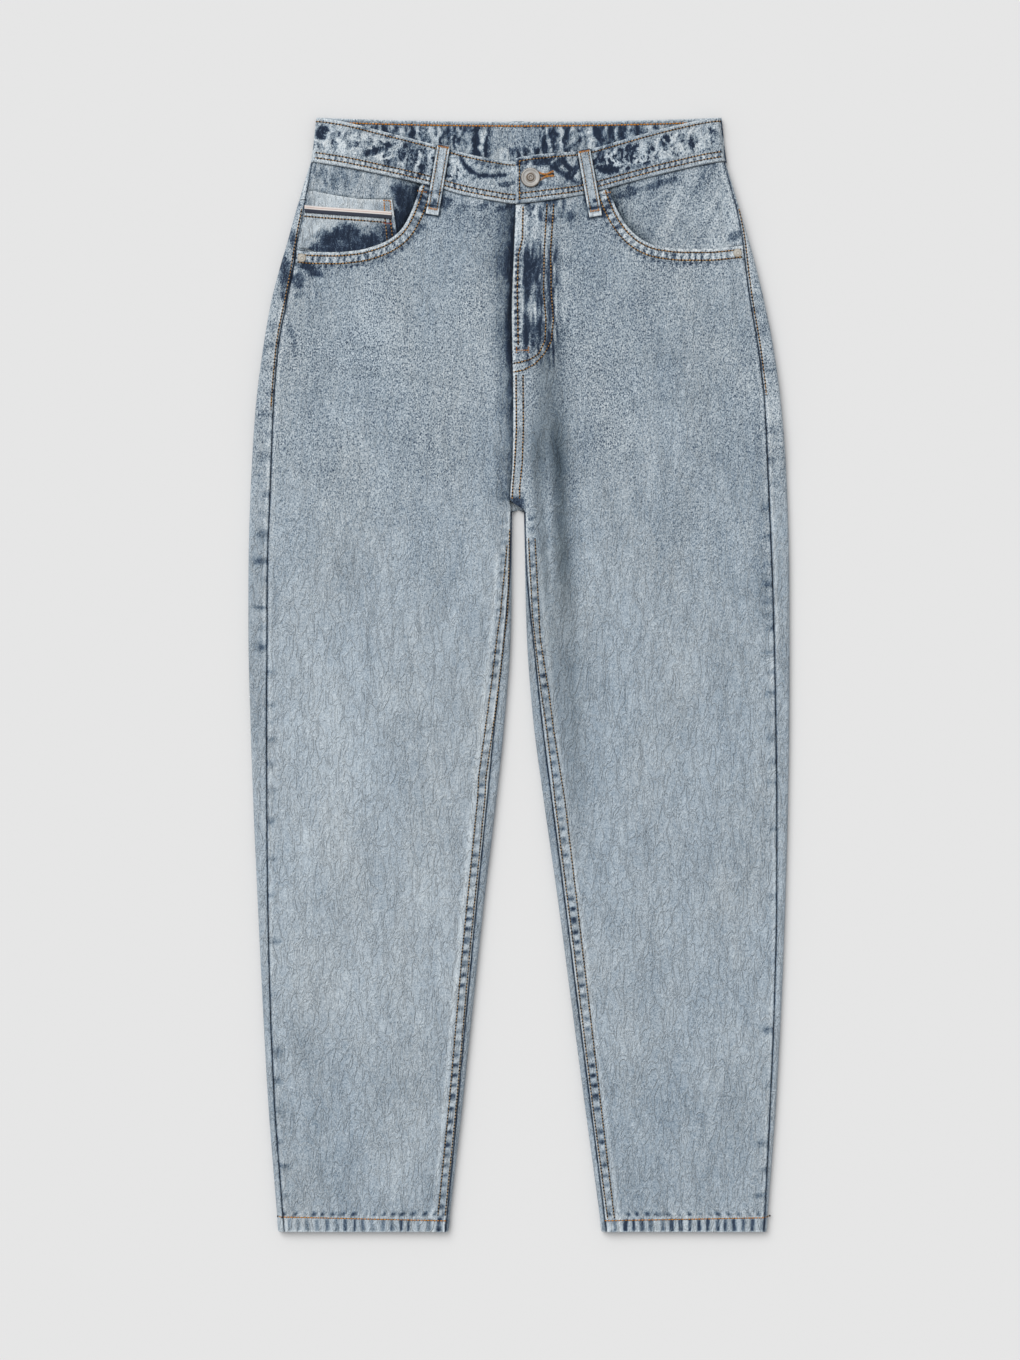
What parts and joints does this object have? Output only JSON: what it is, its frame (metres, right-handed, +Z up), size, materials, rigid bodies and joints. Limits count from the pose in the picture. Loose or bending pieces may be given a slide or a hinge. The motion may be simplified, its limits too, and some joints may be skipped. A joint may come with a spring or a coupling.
{
  "type": "tapered jeans laid flat",
  "caption": "High-rise tapered denim jeans laid flat on their back, front up, with the button fastened and the legs slightly apart.",
  "frame": {"origin": "middle of the garment's length and width, on the surface it lies on", "axes": "+X towards the wearer's left, +Y from the hems to the waistband, +Z up off the surface, out of the front of the garment"},
  "size_m": [0.4878, 1.004, 0.0148],
  "materials": {
    "washed_denim": "pale acid-washed indigo twill, dry and matt",
    "dark_denim": "the same denim where it kept more of its indigo",
    "woven_tape": "narrow woven tape, off-white",
    "topstitch_thread": "amber corespun thread, browner where it is worn",
    "pewter": "aged matt silver with a trace of copper",
    "zip_brass": "dull brass teeth on a navy tape"
  },
  "bodies": {
    "root": {"front_right": "washed_denim", "front_left": "washed_denim", "back_right": "washed_denim", "back_left": "washed_denim", "yoke_right": "washed_denim", "yoke_left": "washed_denim", "waistband_back": "dark_denim", "waistband_front_right": "dark_denim", "waistband_front_left": "dark_denim", "pocket_facing_right": "dark_denim", "pocket_facing_left": "dark_denim", "coin_pocket": "dark_denim", "coin_pocket_tape": "woven_tape", "back_pocket_right": "washed_denim", "back_pocket_left": "washed_denim", "belt_loop_front_right": "washed_denim", "belt_loop_front_left": "washed_denim", "belt_loop_back_right": "washed_denim", "belt_loop_back_centre": "washed_denim", "belt_loop_back_left": "washed_denim", "fly_shield": "washed_denim", "fly_zip": "zip_brass", "waist_button": "pewter", "rivet_right": "pewter", "rivet_left": "pewter"}
  },
  "joints": []
}
